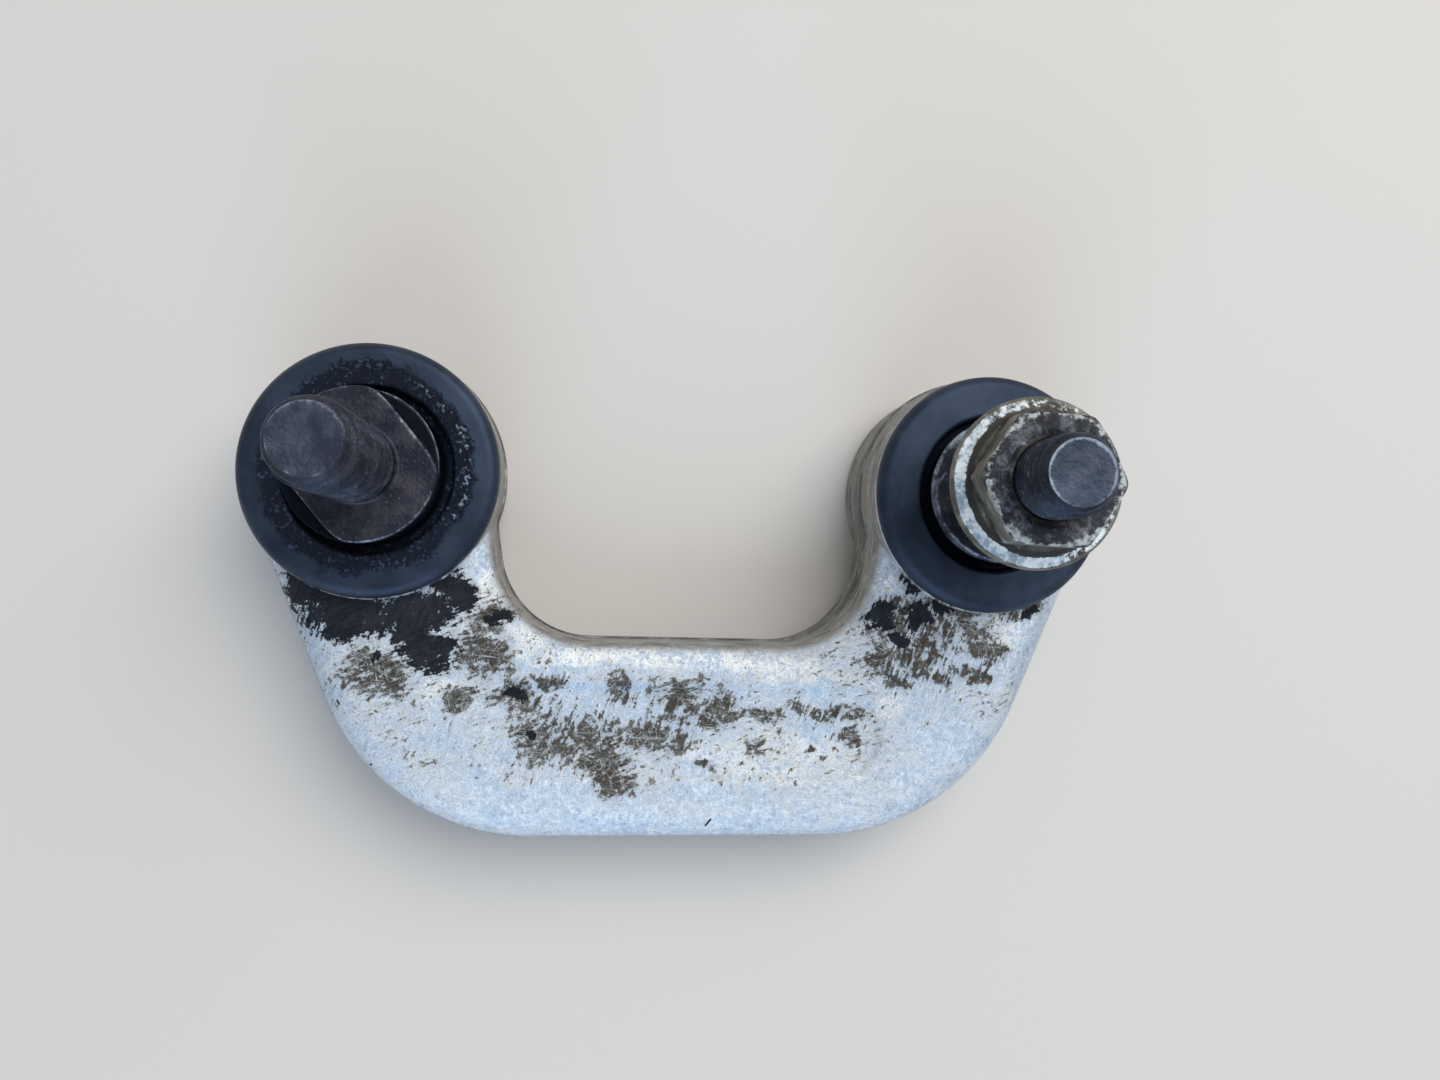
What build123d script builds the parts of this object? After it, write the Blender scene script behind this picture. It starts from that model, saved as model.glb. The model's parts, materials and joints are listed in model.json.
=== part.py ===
# Drop link of an anti-roll bar: a C-shaped forged aluminium link with a ball joint at each end.
# Millimetres. X runs along the link from left joint to right joint, Y towards the open side
# of the C, Z out of the studs. The origin is the middle of the whole outline, on the back face.
from build123d import *
import math
import os

# Link
JOINT_SPACING = 88.0          # between the two ball centres, along X
THICKNESS = 17.0              # of the housings, back face to boot face
ARM_RELIEF = 0.4              # the arms stand this much lower than the housings, front and back
HOUSING_RADIUS = 17.8
HOUSING_EDGE = 0.8            # rounding of the housing rims
DRAFT_ANGLE = 1.5             # of the forging, both ways from its parting plane
PARTING_HEIGHT = 9.5          # of the parting plane above the back face
FLASH_WIDTH = 1.2             # trimmed flash that is left along the parting plane, its height
FLASH_PROUD = 0.2             # and how far it stands out of the drafted sides
WINDOW_DEPTH = 22.3           # from the line of the joints down to the bridge
WINDOW_CORNER = 13.2
WINDOW_LEAN = 9.0             # degrees, how the arms' inner walls open out from the bridge
WAIST_BLEND = 8.0             # where an arm's inner wall runs into the housing
ARM_END_INSET = 0.1           # the arms' round ends lie this far inside the housings
WAIST_STEP = 2.0              # how far they reach past the inner walls on the line of the joints
BRIDGE_DEPTH = 28.6           # of the bridge, from the window to the outer edge
SIDE_ANGLE = 22.5             # lean of the arms' outer sides
OUTER_CORNER = 32.0
OUTER_ROUNDING = 4.2          # top and bottom edges, outside of the C
WINDOW_ROUNDING = 3.8         # top and bottom edges, inside of the C

# Shallow pockets on the front and back of the bridge
POCKET_LENGTH = 57.0
POCKET_WIDTH = 13.0
POCKET_BEAD = 6.5             # width of the raised edge between the window and the pocket
POCKET_DEPTH = 0.9
POCKET_SLOPE = 55.0           # draft of the pocket's walls, in degrees
POCKET_CORNER = 5.5
POCKET_SOFTNESS = 2.0         # rounding of the pocket's rim and of its floor's edge

# Ball and stud
BALL_RADIUS = 8.0
BALL_HEIGHT = 10.8            # ball centre above the back face
NECK_RADIUS = 4.6
NECK_FLARE = 3.0              # height of the flare below the collar
NECK_TOP_RADIUS = 6.2
COLLAR_BASE = 25.0            # height of the collar's underside
COLLAR_RADIUS = 10.0
COLLAR_THICKNESS = 3.0
COLLAR_FLATS = 16.0           # across the two flats
COLLAR_CORNER = 3.0           # rounding where a flat meets the round
COLLAR_RIM = 0.8              # full round rim left below the flats
COLLAR_EDGE = 0.4
THREAD_RADIUS = 5.0           # M10 x 1.5
THREAD_LENGTH = 27.6
TIP_RADIUS = 4.0              # of the end face
TIP_TAPER = 2.0               # length over which the thread runs out to it
RIGHT_LEAN = 5.6              # degrees, how far the right stud leans towards the left one
LEFT_FLAT_TURN = 40.0         # degrees, how the flats stand on each stud
RIGHT_FLAT_TURN = -42.0

# Seat, cap and the housing's inside
BALL_CLEARANCE = 0.05
SEAT_RADIUS = 11.4
SEAT_TOP = 15.8
SEAT_LIP = 4.0                # how far the seat closes over the ball's equator
SEAT_GREASE_HOLE = 3.2
SEAT_CLEARANCE = 0.05
CAP_RADIUS = 13.2
CAP_THICKNESS = 1.8
CAP_CLEARANCE = 0.02
CAP_DISH_RADIUS = 7.5
CAP_DISH_DEPTH = 0.5
CAP_BEVEL = 0.6
ROLLED_LIP = 0.8              # height of the rolled edge that holds the cap
ROLLED_LIP_RADIUS = 12.4
SEAT_MOUTH_STEP = 0.4         # the seat's own mouth is this much narrower than the housing's
SEAT_SLOTS = 4
SEAT_SLOT = 1.2
MOUTH_RADIUS_LOW = 8.2        # flared opening for the neck
MOUTH_RADIUS_HIGH = 9.4

# Boot, its groove and its rings
SPIGOT_RADIUS = 12.6
BOOT_GROOVE_RADIUS = 15.6
BOOT_GROOVE_DEPTH = 3.0
BOOT_CLEARANCE = 0.12
BOOT_RADIUS = 17.3
BOOT_BEAD = 1.5               # wall of the boot where the base ring clamps it
BOOT_HEIGHT = 2.9             # of the boot above the housing, at its mouth
BOOT_BAND_DROP = 0.6          # how much lower the flat band is at its outer edge
BOOT_SHOULDER = 1.25          # rounding of the outer shoulder
BOOT_WALL = 0.8
BOOT_MOUTH_RADIUS = 11.5
BOOT_LIP_RADIUS = 6.6
BOOT_LIP_HEIGHT = 3.2
BOOT_LIP_GAP = 0.3            # below the collar
NECK_RING_WIRE = 1.0
NECK_RING_HEIGHT = 1.5        # of the neck ring below the collar
BASE_RING_WALL = 0.9
BASE_RING_HEIGHT = 1.4

# Flange nut
NUT_FLATS = 16.0
NUT_HEIGHT = 8.0
NUT_FLANGE_RADIUS = 11.0
NUT_FLANGE_EDGE = 1.4
NUT_FLANGE_HEIGHT = 2.6       # where the flange's cone meets the hexagon
NUT_STANDOFF = 10.9           # from the collar's face to the nut's seat
NUT_THREAD_CLEARANCE = 0.05
NUT_TOP_RADIUS = 8.3          # of the round chamfer on top of the hexagon
NUT_BORE_CHAMFER = 0.6
NUT_TURN = -2.0               # degrees, how the hexagon's corners stand

FULL_TURN = 360
MATCH = 0.01                  # two points closer than this are the same point
CUT_OVER = 1.0                # cutting tools reach this far past the faces they cut
HALF_SPACING = JOINT_SPACING / 2
ARM_END_RADIUS = HOUSING_RADIUS - ARM_END_INSET
ARM_END = HOUSING_RADIUS / 3  # past the line of the joints, where the arms end in the housings
WINDOW_HALF_WIDTH = HALF_SPACING - ARM_END_RADIUS + WAIST_STEP
CAP_TOP = ROLLED_LIP + CAP_THICKNESS
COLLAR_TOP = COLLAR_BASE + COLLAR_THICKNESS
STUD_TIP = COLLAR_TOP + THREAD_LENGTH
JOINT_LINE = (WINDOW_DEPTH + BRIDGE_DEPTH - HOUSING_RADIUS) / 2   # Y of both ball centres


def revolved(profile):
    """Full solid of revolution about Z from a closed (radius, height) outline."""
    outline = make_face(Polyline(*[(r, 0, z) for r, z in profile], close=True))
    return revolve(outline, axis=Axis.Z, revolution_arc=FULL_TURN)


def ring(inner, outer, low, high):
    """Plain ring with a rectangular section."""
    return revolved([(inner, low), (outer, low), (outer, high), (inner, high)])


def leaned(solid, lean):
    """Turn a solid about the ball centre, about Y: a positive lean goes towards -X."""
    centre = Pos(0, 0, BALL_HEIGHT)
    return centre * Rot(0, -lean, 0) * centre.inverse() * solid


def arm_outline():
    """Plan of the C at the trimmed flash. Its ends are cut off inside the housings."""
    side = math.radians(SIDE_ANGLE)
    tangent_x = HALF_SPACING + ARM_END_RADIUS * math.cos(side)
    tangent_y = -ARM_END_RADIUS * math.sin(side)
    bottom_y = -(WINDOW_DEPTH + BRIDGE_DEPTH)
    corner_x = tangent_x + (bottom_y - tangent_y) * math.tan(side)
    slope = math.tan(math.radians(WINDOW_LEAN))
    window_x = WINDOW_HALF_WIDTH - WINDOW_DEPTH * slope
    right_half = [
        (corner_x, bottom_y),
        (tangent_x, tangent_y),
        (HALF_SPACING, 0),
        (WINDOW_HALF_WIDTH, 0),
        (window_x, -WINDOW_DEPTH),
    ]
    left_half = [(-x, y) for x, y in reversed(right_half)]
    plan = make_face(Polyline(*right_half, *left_half, close=True))
    for x in (-HALF_SPACING, HALF_SPACING):
        plan += Pos(x, 0) * Circle(ARM_END_RADIUS)
    # The waist is where the inner wall's line meets the round end
    inset = HALF_SPACING - WINDOW_HALF_WIDTH
    squared = (1 + slope**2) * (ARM_END_RADIUS**2 - inset**2) + (inset * slope) ** 2
    waist_y = (inset * slope - math.sqrt(squared)) / (1 + slope**2)
    waist_x = WINDOW_HALF_WIDTH + waist_y * slope
    for x, y, radius in (
        (corner_x, bottom_y, OUTER_CORNER),
        (window_x, -WINDOW_DEPTH, WINDOW_CORNER),
        (waist_x, waist_y, WAIST_BLEND),
    ):
        corners = [v for v in plan.vertices() if abs(abs(v.X) - x) < MATCH and abs(v.Y - y) < MATCH]
        plan = fillet(corners, radius)
    whole = 2 * JOINT_SPACING
    return plan - Pos(0, ARM_END + whole / 2) * Rectangle(whole, whole)


def pocket_cutter():
    """Slope-sided block that presses one shallow pocket, opening towards +Z at height 0."""
    middle_y = -(WINDOW_DEPTH + POCKET_BEAD + POCKET_WIDTH / 2)
    plan = Pos(0, middle_y, -POCKET_DEPTH) * RectangleRounded(
        POCKET_LENGTH - 2 * POCKET_DEPTH,
        POCKET_WIDTH - 2 * POCKET_DEPTH,
        POCKET_CORNER - POCKET_DEPTH,
    )
    return extrude(plan, amount=POCKET_DEPTH + CUT_OVER, taper=-POCKET_SLOPE)


def same_edge(first, second):
    """True where two edges lie on each other."""
    apart = (first.center() - second.center()).length
    return apart < MATCH and abs(first.length - second.length) < MATCH


def arm_half(height):
    """The C-shaped bar on one side of the parting plane: drafted, rounded, with its pocket."""
    bar = extrude(offset(arm_outline(), -FLASH_PROUD), amount=height)
    bar = draft([f for f in bar.faces() if abs(f.normal_at().Z) < 0.5], Plane.XY, DRAFT_ANGLE)
    rim = bar.faces().sort_by(Axis.Z)[-1].edges()
    rim = [e for e in rim if e.center().Y < ARM_END / 2]
    mid_bridge = -(WINDOW_DEPTH + BRIDGE_DEPTH / 2)
    window = [e for e in rim if abs(e.center().X) < HALF_SPACING and e.center().Y > mid_bridge]
    outside = [e for e in rim if e not in window]
    bar = fillet(window, WINDOW_ROUNDING)
    outside = [e for e in bar.edges() if any(same_edge(e, o) for o in outside)]
    bar = fillet(outside, OUTER_ROUNDING)
    pocketed = bar - Pos(0, 0, height) * pocket_cutter()
    kept = bar.edges()
    bounds = [e for e in pocketed.edges() if not any(same_edge(e, k) for k in kept)]
    flat_bounds = [e for e in bounds if e.bounding_box().size.Z < MATCH]
    return fillet(flat_bounds, POCKET_SOFTNESS)


def arms():
    """The C-shaped bar: both halves of the forging and its trimmed flash."""
    front = arm_half(THICKNESS - ARM_RELIEF - PARTING_HEIGHT)
    back = mirror(arm_half(PARTING_HEIGHT - ARM_RELIEF), about=Plane.XY)
    flash = extrude(arm_outline(), amount=FLASH_WIDTH / 2, both=True)
    return Pos(0, 0, PARTING_HEIGHT) * (front + back + flash)


def housing_blank():
    """Round boss of one ball joint, on the Z axis, before it is bored."""
    parting_radius = HOUSING_RADIUS - FLASH_PROUD
    slope = math.tan(math.radians(DRAFT_ANGLE))
    boss = revolved([
        (0, 0),
        (parting_radius - PARTING_HEIGHT * slope, 0),
        (parting_radius, PARTING_HEIGHT),
        (parting_radius - (THICKNESS - PARTING_HEIGHT) * slope, THICKNESS),
        (0, THICKNESS),
    ])
    circles = boss.edges().filter_by(GeomType.CIRCLE)
    boss = fillet([e for e in circles if abs(e.center().Z - PARTING_HEIGHT) > MATCH], HOUSING_EDGE)
    half_flash = FLASH_WIDTH / 2
    return boss + ring(0, HOUSING_RADIUS, PARTING_HEIGHT - half_flash, PARTING_HEIGHT + half_flash)


def housing_hollow():
    """Everything that is bored and turned out of one housing, on the Z axis."""
    seat_bore = SEAT_RADIUS + SEAT_CLEARANCE
    shoulder = SEAT_TOP + SEAT_CLEARANCE
    cap_bore = CAP_RADIUS + CAP_CLEARANCE
    bore = revolved([
        (0, -CUT_OVER),
        (ROLLED_LIP_RADIUS, -CUT_OVER),
        (ROLLED_LIP_RADIUS, ROLLED_LIP / 2),
        (cap_bore - CAP_BEVEL, ROLLED_LIP),
        (cap_bore, ROLLED_LIP + CAP_BEVEL),
        (cap_bore, CAP_TOP),
        (seat_bore, CAP_TOP),
        (seat_bore, shoulder),
        (MOUTH_RADIUS_LOW, shoulder),
        (MOUTH_RADIUS_HIGH, THICKNESS),
        (MOUTH_RADIUS_HIGH, THICKNESS + CUT_OVER),
        (0, THICKNESS + CUT_OVER),
    ])
    groove_floor = THICKNESS - BOOT_GROOVE_DEPTH
    return bore + ring(SPIGOT_RADIUS, BOOT_GROOVE_RADIUS, groove_floor, THICKNESS + CUT_OVER)


def link_body():
    """The forging: both arms and the bridge in one bar, with a housing at each end."""
    body = arms()
    for x in (-HALF_SPACING, HALF_SPACING):
        body += Pos(x, 0, 0) * housing_blank()
    for x in (-HALF_SPACING, HALF_SPACING):
        body -= Pos(x, 0, 0) * housing_hollow()
    return body


def closing_cap():
    """Steel disc that closes the back of a housing, dished on its outside."""
    return revolved([
        (0, ROLLED_LIP + CAP_DISH_DEPTH),
        (CAP_DISH_RADIUS, ROLLED_LIP + CAP_DISH_DEPTH),
        (CAP_DISH_RADIUS + CAP_DISH_DEPTH, ROLLED_LIP),
        (CAP_RADIUS - CAP_BEVEL, ROLLED_LIP),
        (CAP_RADIUS, ROLLED_LIP + CAP_BEVEL),
        (CAP_RADIUS, CAP_TOP),
        (0, CAP_TOP),
    ])


def ball_seat():
    """Plastic shell round the ball, slotted from its mouth so that it snaps over the ball."""
    hollow = BALL_RADIUS + BALL_CLEARANCE
    lip_height = BALL_HEIGHT + SEAT_LIP
    lip_radius = math.sqrt(hollow**2 - SEAT_LIP**2)
    seat = revolved([
        (SEAT_GREASE_HOLE, CAP_TOP),
        (SEAT_RADIUS, CAP_TOP),
        (SEAT_RADIUS, SEAT_TOP),
        (MOUTH_RADIUS_LOW - SEAT_MOUTH_STEP, SEAT_TOP),
        (lip_radius, lip_height),
        (SEAT_GREASE_HOLE, lip_height),
    ])
    seat -= Pos(0, 0, BALL_HEIGHT) * Sphere(hollow)
    slot = Pos(0, 0, SEAT_TOP) * Box(3 * SEAT_RADIUS, SEAT_SLOT, 2 * (SEAT_TOP - BALL_HEIGHT))
    for turn in range(SEAT_SLOTS // 2):
        seat -= Rot(0, 0, turn * FULL_TURN / SEAT_SLOTS) * slot
    return seat


def ball_stud(flat_turn):
    """Ball, neck, collar with two flats and threaded shank, upright on the Z axis."""
    stud = Pos(0, 0, BALL_HEIGHT) * Sphere(BALL_RADIUS)
    stud += revolved([
        (0, BALL_HEIGHT),
        (NECK_RADIUS, BALL_HEIGHT),
        (NECK_RADIUS, COLLAR_BASE - NECK_FLARE),
        (NECK_TOP_RADIUS, COLLAR_BASE),
        (COLLAR_RADIUS, COLLAR_BASE),
        (COLLAR_RADIUS, COLLAR_BASE + COLLAR_RIM),
        (THREAD_RADIUS, COLLAR_BASE + COLLAR_RIM),
        (THREAD_RADIUS, STUD_TIP - TIP_TAPER),
        (TIP_RADIUS, STUD_TIP),
        (0, STUD_TIP),
    ])
    plan = Circle(COLLAR_RADIUS) & Rectangle(COLLAR_FLATS, 3 * COLLAR_RADIUS)
    plan = fillet(plan.vertices(), COLLAR_CORNER)
    collar = extrude(plan, amount=COLLAR_THICKNESS - COLLAR_RIM)
    collar = chamfer(collar.faces().sort_by(Axis.Z)[-1].edges(), COLLAR_EDGE)
    return stud + Pos(0, 0, COLLAR_BASE + COLLAR_RIM) * Rot(0, 0, flat_turn) * collar


def dust_boot(lean):
    """Rubber boot: bead in the housing's groove, outer roll, flat band, fold and neck lip."""
    bead_inner = SPIGOT_RADIUS + BOOT_CLEARANCE
    bead_outer = bead_inner + BOOT_BEAD
    bead_low = THICKNESS - BOOT_GROOVE_DEPTH + BOOT_CLEARANCE
    seat = THICKNESS + BOOT_CLEARANCE
    mouth_top = THICKNESS + BOOT_HEIGHT
    band_top = mouth_top - BOOT_BAND_DROP
    fold_top = seat + BOOT_WALL + BOOT_CLEARANCE
    roll = revolved([
        (bead_inner, bead_low),
        (bead_outer, bead_low),
        (bead_outer, seat),
        (BOOT_RADIUS - BOOT_SHOULDER / 2, seat),
        (BOOT_RADIUS, seat + BOOT_SHOULDER / 2),
        (BOOT_RADIUS, band_top - BOOT_SHOULDER),
        (BOOT_RADIUS - BOOT_SHOULDER / 2, band_top - BOOT_SHOULDER / 4),
        (BOOT_RADIUS - BOOT_SHOULDER, band_top),
        (BOOT_MOUTH_RADIUS + BOOT_WALL / 2, mouth_top),
        (BOOT_MOUTH_RADIUS, mouth_top - BOOT_WALL / 2),
        (BOOT_MOUTH_RADIUS - BOOT_WALL, fold_top),
        (BOOT_LIP_RADIUS + BOOT_WALL, fold_top),
        (BOOT_LIP_RADIUS + BOOT_WALL, fold_top - BOOT_WALL),
        (BOOT_MOUTH_RADIUS, fold_top - BOOT_WALL),
        (bead_inner, mouth_top - 2 * BOOT_WALL),
        (BOOT_RADIUS - 2 * BOOT_WALL, band_top - BOOT_WALL),
        (BOOT_RADIUS - 2 * BOOT_WALL, seat + BOOT_WALL),
        (bead_inner + BOOT_WALL, seat + BOOT_WALL),
        (bead_inner, seat),
    ])
    lip_top = COLLAR_BASE - BOOT_LIP_GAP
    lip_bore = NECK_RADIUS + BOOT_CLEARANCE
    groove = COLLAR_BASE - NECK_RING_HEIGHT
    groove_radius = BOOT_LIP_RADIUS - NECK_RING_WIRE / 2
    half_groove = NECK_RING_WIRE / 2 + BOOT_CLEARANCE
    funnel = revolved([
        (BOOT_LIP_RADIUS, seat + BOOT_WALL / 2),
        (BOOT_LIP_RADIUS + 2 * BOOT_WALL, seat + BOOT_WALL / 2),
        (BOOT_LIP_RADIUS, lip_top - BOOT_LIP_HEIGHT),
        (BOOT_LIP_RADIUS, groove - half_groove),
        (groove_radius, groove - half_groove),
        (groove_radius, groove + half_groove),
        (BOOT_LIP_RADIUS, groove + half_groove),
        (BOOT_LIP_RADIUS, lip_top),
        (NECK_TOP_RADIUS + BOOT_CLEARANCE, lip_top),
        (lip_bore, COLLAR_BASE - NECK_FLARE),
        (lip_bore, lip_top - BOOT_LIP_HEIGHT),
        (BOOT_LIP_RADIUS - BOOT_WALL, fold_top + BOOT_WALL),
    ])
    return roll + leaned(funnel, lean)


def boot_base_ring():
    """Steel ring that clamps the boot's bead on the housing's spigot."""
    inner = SPIGOT_RADIUS + BOOT_BEAD + 2 * BOOT_CLEARANCE
    low = THICKNESS - BOOT_GROOVE_DEPTH
    return ring(inner, inner + BASE_RING_WALL, low, low + BASE_RING_HEIGHT)


def boot_neck_ring():
    """Round wire ring in the groove of the boot's lip, close under the collar."""
    wire = NECK_RING_WIRE / 2
    middle = BOOT_LIP_RADIUS - NECK_RING_WIRE / 2 + BOOT_CLEARANCE + wire
    return Pos(0, 0, COLLAR_BASE - NECK_RING_HEIGHT) * Torus(middle, wire)


def flange_nut():
    """Hexagon nut with a fixed flange, its seat at height 0 on the Z axis."""
    bore = THREAD_RADIUS + NUT_THREAD_CLEARANCE
    corner = NUT_FLATS / 2 / math.cos(math.pi / 6)
    hexagon = extrude(Rot(0, 0, NUT_TURN) * RegularPolygon(corner, 6), amount=NUT_HEIGHT)
    hexagon &= revolved([
        (0, 0),
        (corner, 0),
        (corner, NUT_HEIGHT - (corner - NUT_TOP_RADIUS) / 2),
        (NUT_TOP_RADIUS, NUT_HEIGHT),
        (0, NUT_HEIGHT),
    ])
    flange = revolved([
        (0, 0),
        (NUT_FLANGE_RADIUS - NUT_FLANGE_EDGE / 4, 0),
        (NUT_FLANGE_RADIUS, NUT_FLANGE_EDGE / 4),
        (NUT_FLANGE_RADIUS, NUT_FLANGE_EDGE * 3 / 4),
        (NUT_FLANGE_RADIUS - NUT_FLANGE_EDGE / 4, NUT_FLANGE_EDGE),
        (NUT_FLATS / 2, NUT_FLANGE_HEIGHT),
        (0, NUT_FLANGE_HEIGHT),
    ])
    hole = revolved([
        (0, 0),
        (bore + NUT_BORE_CHAMFER, 0),
        (bore, NUT_BORE_CHAMFER),
        (bore, NUT_HEIGHT - NUT_BORE_CHAMFER),
        (bore + NUT_BORE_CHAMFER, NUT_HEIGHT),
        (0, NUT_HEIGHT),
    ])
    return hexagon + flange - hole


def joint_pieces(side, x, lean, flat_turn):
    """Every loose piece of one ball joint, at its place in the link."""
    pieces = {
        "closing_cap": closing_cap(),
        "ball_seat": ball_seat(),
        "ball_stud": leaned(ball_stud(flat_turn), lean),
        "boot_base_ring": boot_base_ring(),
        "dust_boot": dust_boot(lean),
        "boot_neck_ring": leaned(boot_neck_ring(), lean),
    }
    return {f"{side}_{name}": Pos(x, 0, 0) * solid for name, solid in pieces.items()}


def all_pieces():
    """Every node of the part by name, moved so that the origin is the middle of the outline."""
    nut = Pos(0, 0, COLLAR_TOP + NUT_STANDOFF) * flange_nut()
    pieces = {
        "link_body": link_body(),
        **joint_pieces("left", -HALF_SPACING, 0, LEFT_FLAT_TURN),
        **joint_pieces("right", HALF_SPACING, RIGHT_LEAN, RIGHT_FLAT_TURN),
        "flange_nut": Pos(HALF_SPACING, 0, 0) * leaned(nut, RIGHT_LEAN),
    }
    return {name: Pos(0, JOINT_LINE, 0) * solid for name, solid in pieces.items()}


os.makedirs("parts", exist_ok=True)
for node, solid in all_pieces().items():
    export_step(solid, f"parts/{node}.step")
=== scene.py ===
# Looks of a worn drop link: a forged aluminium C with a rubber-booted ball joint at each end.
# Sizes are in millimetres unless a comment says otherwise, in the frame of the solids.
import json
import math

import bmesh
import bpy
import numpy as np
from mathutils import Matrix, Vector


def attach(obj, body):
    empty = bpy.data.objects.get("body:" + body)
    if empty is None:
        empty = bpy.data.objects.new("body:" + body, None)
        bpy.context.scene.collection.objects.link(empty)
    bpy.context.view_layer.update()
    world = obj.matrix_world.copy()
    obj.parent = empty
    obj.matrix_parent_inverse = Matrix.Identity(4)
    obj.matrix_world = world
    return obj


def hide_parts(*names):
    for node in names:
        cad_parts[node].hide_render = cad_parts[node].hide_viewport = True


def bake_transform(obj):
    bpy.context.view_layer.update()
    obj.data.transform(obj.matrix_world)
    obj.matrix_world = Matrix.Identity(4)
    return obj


MM = 0.001                                    # metres, the unit of Blender's scene
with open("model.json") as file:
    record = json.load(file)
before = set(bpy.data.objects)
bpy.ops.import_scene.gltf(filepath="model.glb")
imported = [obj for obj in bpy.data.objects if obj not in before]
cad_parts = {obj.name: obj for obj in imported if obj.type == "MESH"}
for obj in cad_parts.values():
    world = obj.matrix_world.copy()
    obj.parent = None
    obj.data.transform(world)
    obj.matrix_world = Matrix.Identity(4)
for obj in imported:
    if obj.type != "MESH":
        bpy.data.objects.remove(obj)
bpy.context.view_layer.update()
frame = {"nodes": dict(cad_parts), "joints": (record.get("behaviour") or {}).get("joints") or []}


def joint_named(name):
    return next(joint for joint in frame["joints"] if joint["name"] == name)


HALF_SPACING, JOINT_LINE = (length / MM for length in joint_named("right_swing_turn")["pos_m"][:2])

# Camera of the photograph, close above the part
CAMERA_PLACE = (-17.61, 5.01, 170.32)
CAMERA_TURN = (1.1271, -8.1197, 1.6541)       # degrees
CAMERA_CLIP = 10.0
FOCAL_PIXELS = 1090
IMAGE_WIDTH = 1440                            # pixels
SENSOR_WIDTH = 36.0

# Studio. Each lamp has a name, a place and a size in metres, a power in watts and a colour
LAMPS = [
    ("key", (0.30, 0.45, 0.75), 0.8, 7.3, (1.0, 0.99, 0.97)),
    ("fill", (-0.10, -0.65, 0.40), 0.7, 3.4, (0.60, 0.78, 1.0)),
]
SURROUND_COLOUR = (0.95, 0.97, 1.0, 1)
SURROUND_STRENGTH = 0.40
FLOOR_COLOUR = (0.60, 0.575, 0.545)
FLOOR_HALF = 3000.0
FLOOR_DROP = 0.05                             # below the part, so that their faces don't coincide

# Stud. Its heights are above the ball's centre
BALL_RADIUS = 8.0
BALL_STEPS = 40
NECK_RADIUS = 4.6
NECK_TOP_RADIUS = 6.2
NECK_FLARE = 3.0
NECK_ROUNDING = 1.5
SHANK_ROUNDING = 0.5
COLLAR_BASE = 14.2
COLLAR_TOP = 17.2
COLLAR_RADIUS = 10.0
COLLAR_FLATS = 16.0
COLLAR_RIM = 0.8                              # full round rim left below the flats
COLLAR_RIM_TOP = COLLAR_BASE + COLLAR_RIM
COLLAR_EDGE = 0.4
COLLAR_CORNER = 1.5                           # softness of the corner where a flat meets the round
FLAT_TURNS = {"left": 40.0, "right": -42.0}   # degrees
SHANK_RADIUS = 4.8
STUD_TIP = 44.8
TIP_RADIUS = 4.0                              # of the end face
TIP_TAPER = 2.0                               # length over which the thread runs out to it
TIP_RIM_RADIUS = 3.4                          # inner edge of the end's level rim
TIP_DISH_RADIUS = 2.8
TIP_DISH = 0.12

# M10 x 1.5 thread
THREAD_START = 18.6
THREAD_CREST = 4.97
THREAD_DEPTH = 0.75
THREAD_PITCH = 1.5
THREAD_STEP = 0.125                           # between two rings of the mesh
CREST_SHARE = 0.14                            # of the pitch, where the crest is flat
ROOT_SHARE = 0.76                             # share from which the root is flat
TIP_THREAD_SHARE = 0.35                       # of the thread's depth that is left on the taper

# Wear of the studs, and directions round the Z axis, in degrees: of the painted highlight on a
# collar's foot, of the nut's white corrosion and painted highlight, and of the boot's painted
# highlights
TIP_WEAR = {"left": 0.5, "right": 0.9}
COLLAR_CHALK = {"left": 0.0, "right": 0.52}
COLLAR_GREASE = {"left": 1.0, "right": 0.0}
COLLAR_FOOT_HIGHLIGHT_AT = 35
NUT_CHALK_AND_HIGHLIGHT_AT = 210
BOOT_PAINTED_GLINTS_AT = 15

# Boot. Its heights are above the ball's centre
HOUSING_TOP = 6.2
SPIGOT_RADIUS = 12.6
GROOVE_DEPTH = 3.0
BOOT_CLEARANCE = 0.12
BOOT_SEAT = HOUSING_TOP + BOOT_CLEARANCE
BOOT_TOP = HOUSING_TOP + 2.9                  # at its mouth
BOOT_RADIUS = 17.3
BOOT_SHOULDER = 1.7                           # rounding of the outer shoulder
BOOT_BAND_DROP = 0.45                         # how much lower the flat band is at its outer edge
BOOT_MOUTH = 11.5
BOOT_FLOOR = 0.8                              # wall on the housing
BOOT_WALL = 1.6                               # at the shoulder and under the band
FOLD_FLOOR = BOOT_SEAT + 0.9
BEAD_WIDTH = 1.5
BEAD_INNER = SPIGOT_RADIUS + BOOT_CLEARANCE
BEAD_OUTER = BEAD_INNER + BEAD_WIDTH
BEAD_LOW = HOUSING_TOP - GROOVE_DEPTH + 2 * BOOT_CLEARANCE
LIP_GAP = 0.3                                 # below the collar
LIP_TOP = COLLAR_BASE - LIP_GAP
LIP_RADIUS = 6.6
LIP_BORE = 6.2
SLEEVE_END = LIP_TOP - 1.9                    # from here up the sleeve leans as far as the stud
GRIME_REACH = {"left": 15.2, "right": 11.5}   # radius within which a boot is grimy
FOLD_DIRT_AND_SHADE_REACH = {"left": 10.4, "right": 11.4}    # radius within which its fold is painted near black, as shade and dirt
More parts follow.
